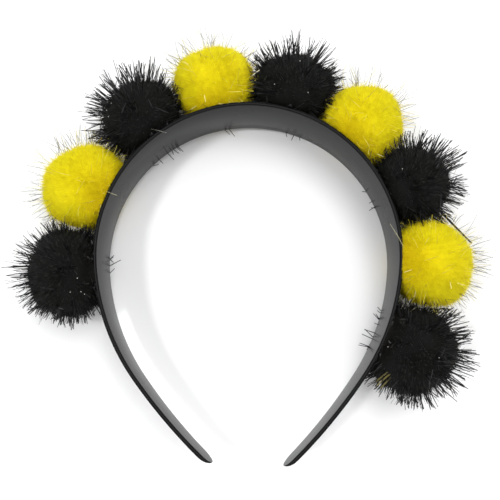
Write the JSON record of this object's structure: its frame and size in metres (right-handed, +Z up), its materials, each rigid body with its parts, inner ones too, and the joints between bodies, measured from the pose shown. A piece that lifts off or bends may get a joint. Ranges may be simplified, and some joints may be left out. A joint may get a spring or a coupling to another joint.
{
  "type": "tinsel headband",
  "caption": "Springy arched headband, widest at the crown and tapering to rounded tips, with fluffy black tinsel and yellow plush pompoms side by side along its outer face.",
  "frame": {"origin": "on the surface that the headband lies on, below the middle of its bounding box", "axes": "+Z up, across the band's width; +Y from the tips towards the crown; +X to the side where the row of pompoms runs further down"},
  "size_m": [0.1878, 0.1764, 0.0414],
  "materials": {
    "band_plastic": "satin moulded black",
    "yellow_pile": "soft plush pile with sparse clear tinsel",
    "black_pile": "matte fuzzy pile with shiny black tinsel"
  },
  "bodies": {
    "root": {"band": "band_plastic", "pompom_black_1": "black_pile", "pompom_yellow_1": "yellow_pile", "pompom_black_2": "black_pile", "pompom_yellow_2": "yellow_pile", "pompom_black_3": "black_pile", "pompom_yellow_3": "yellow_pile", "pompom_black_4": "black_pile", "pompom_yellow_4": "yellow_pile", "pompom_black_5": "black_pile"}
  },
  "joints": []
}
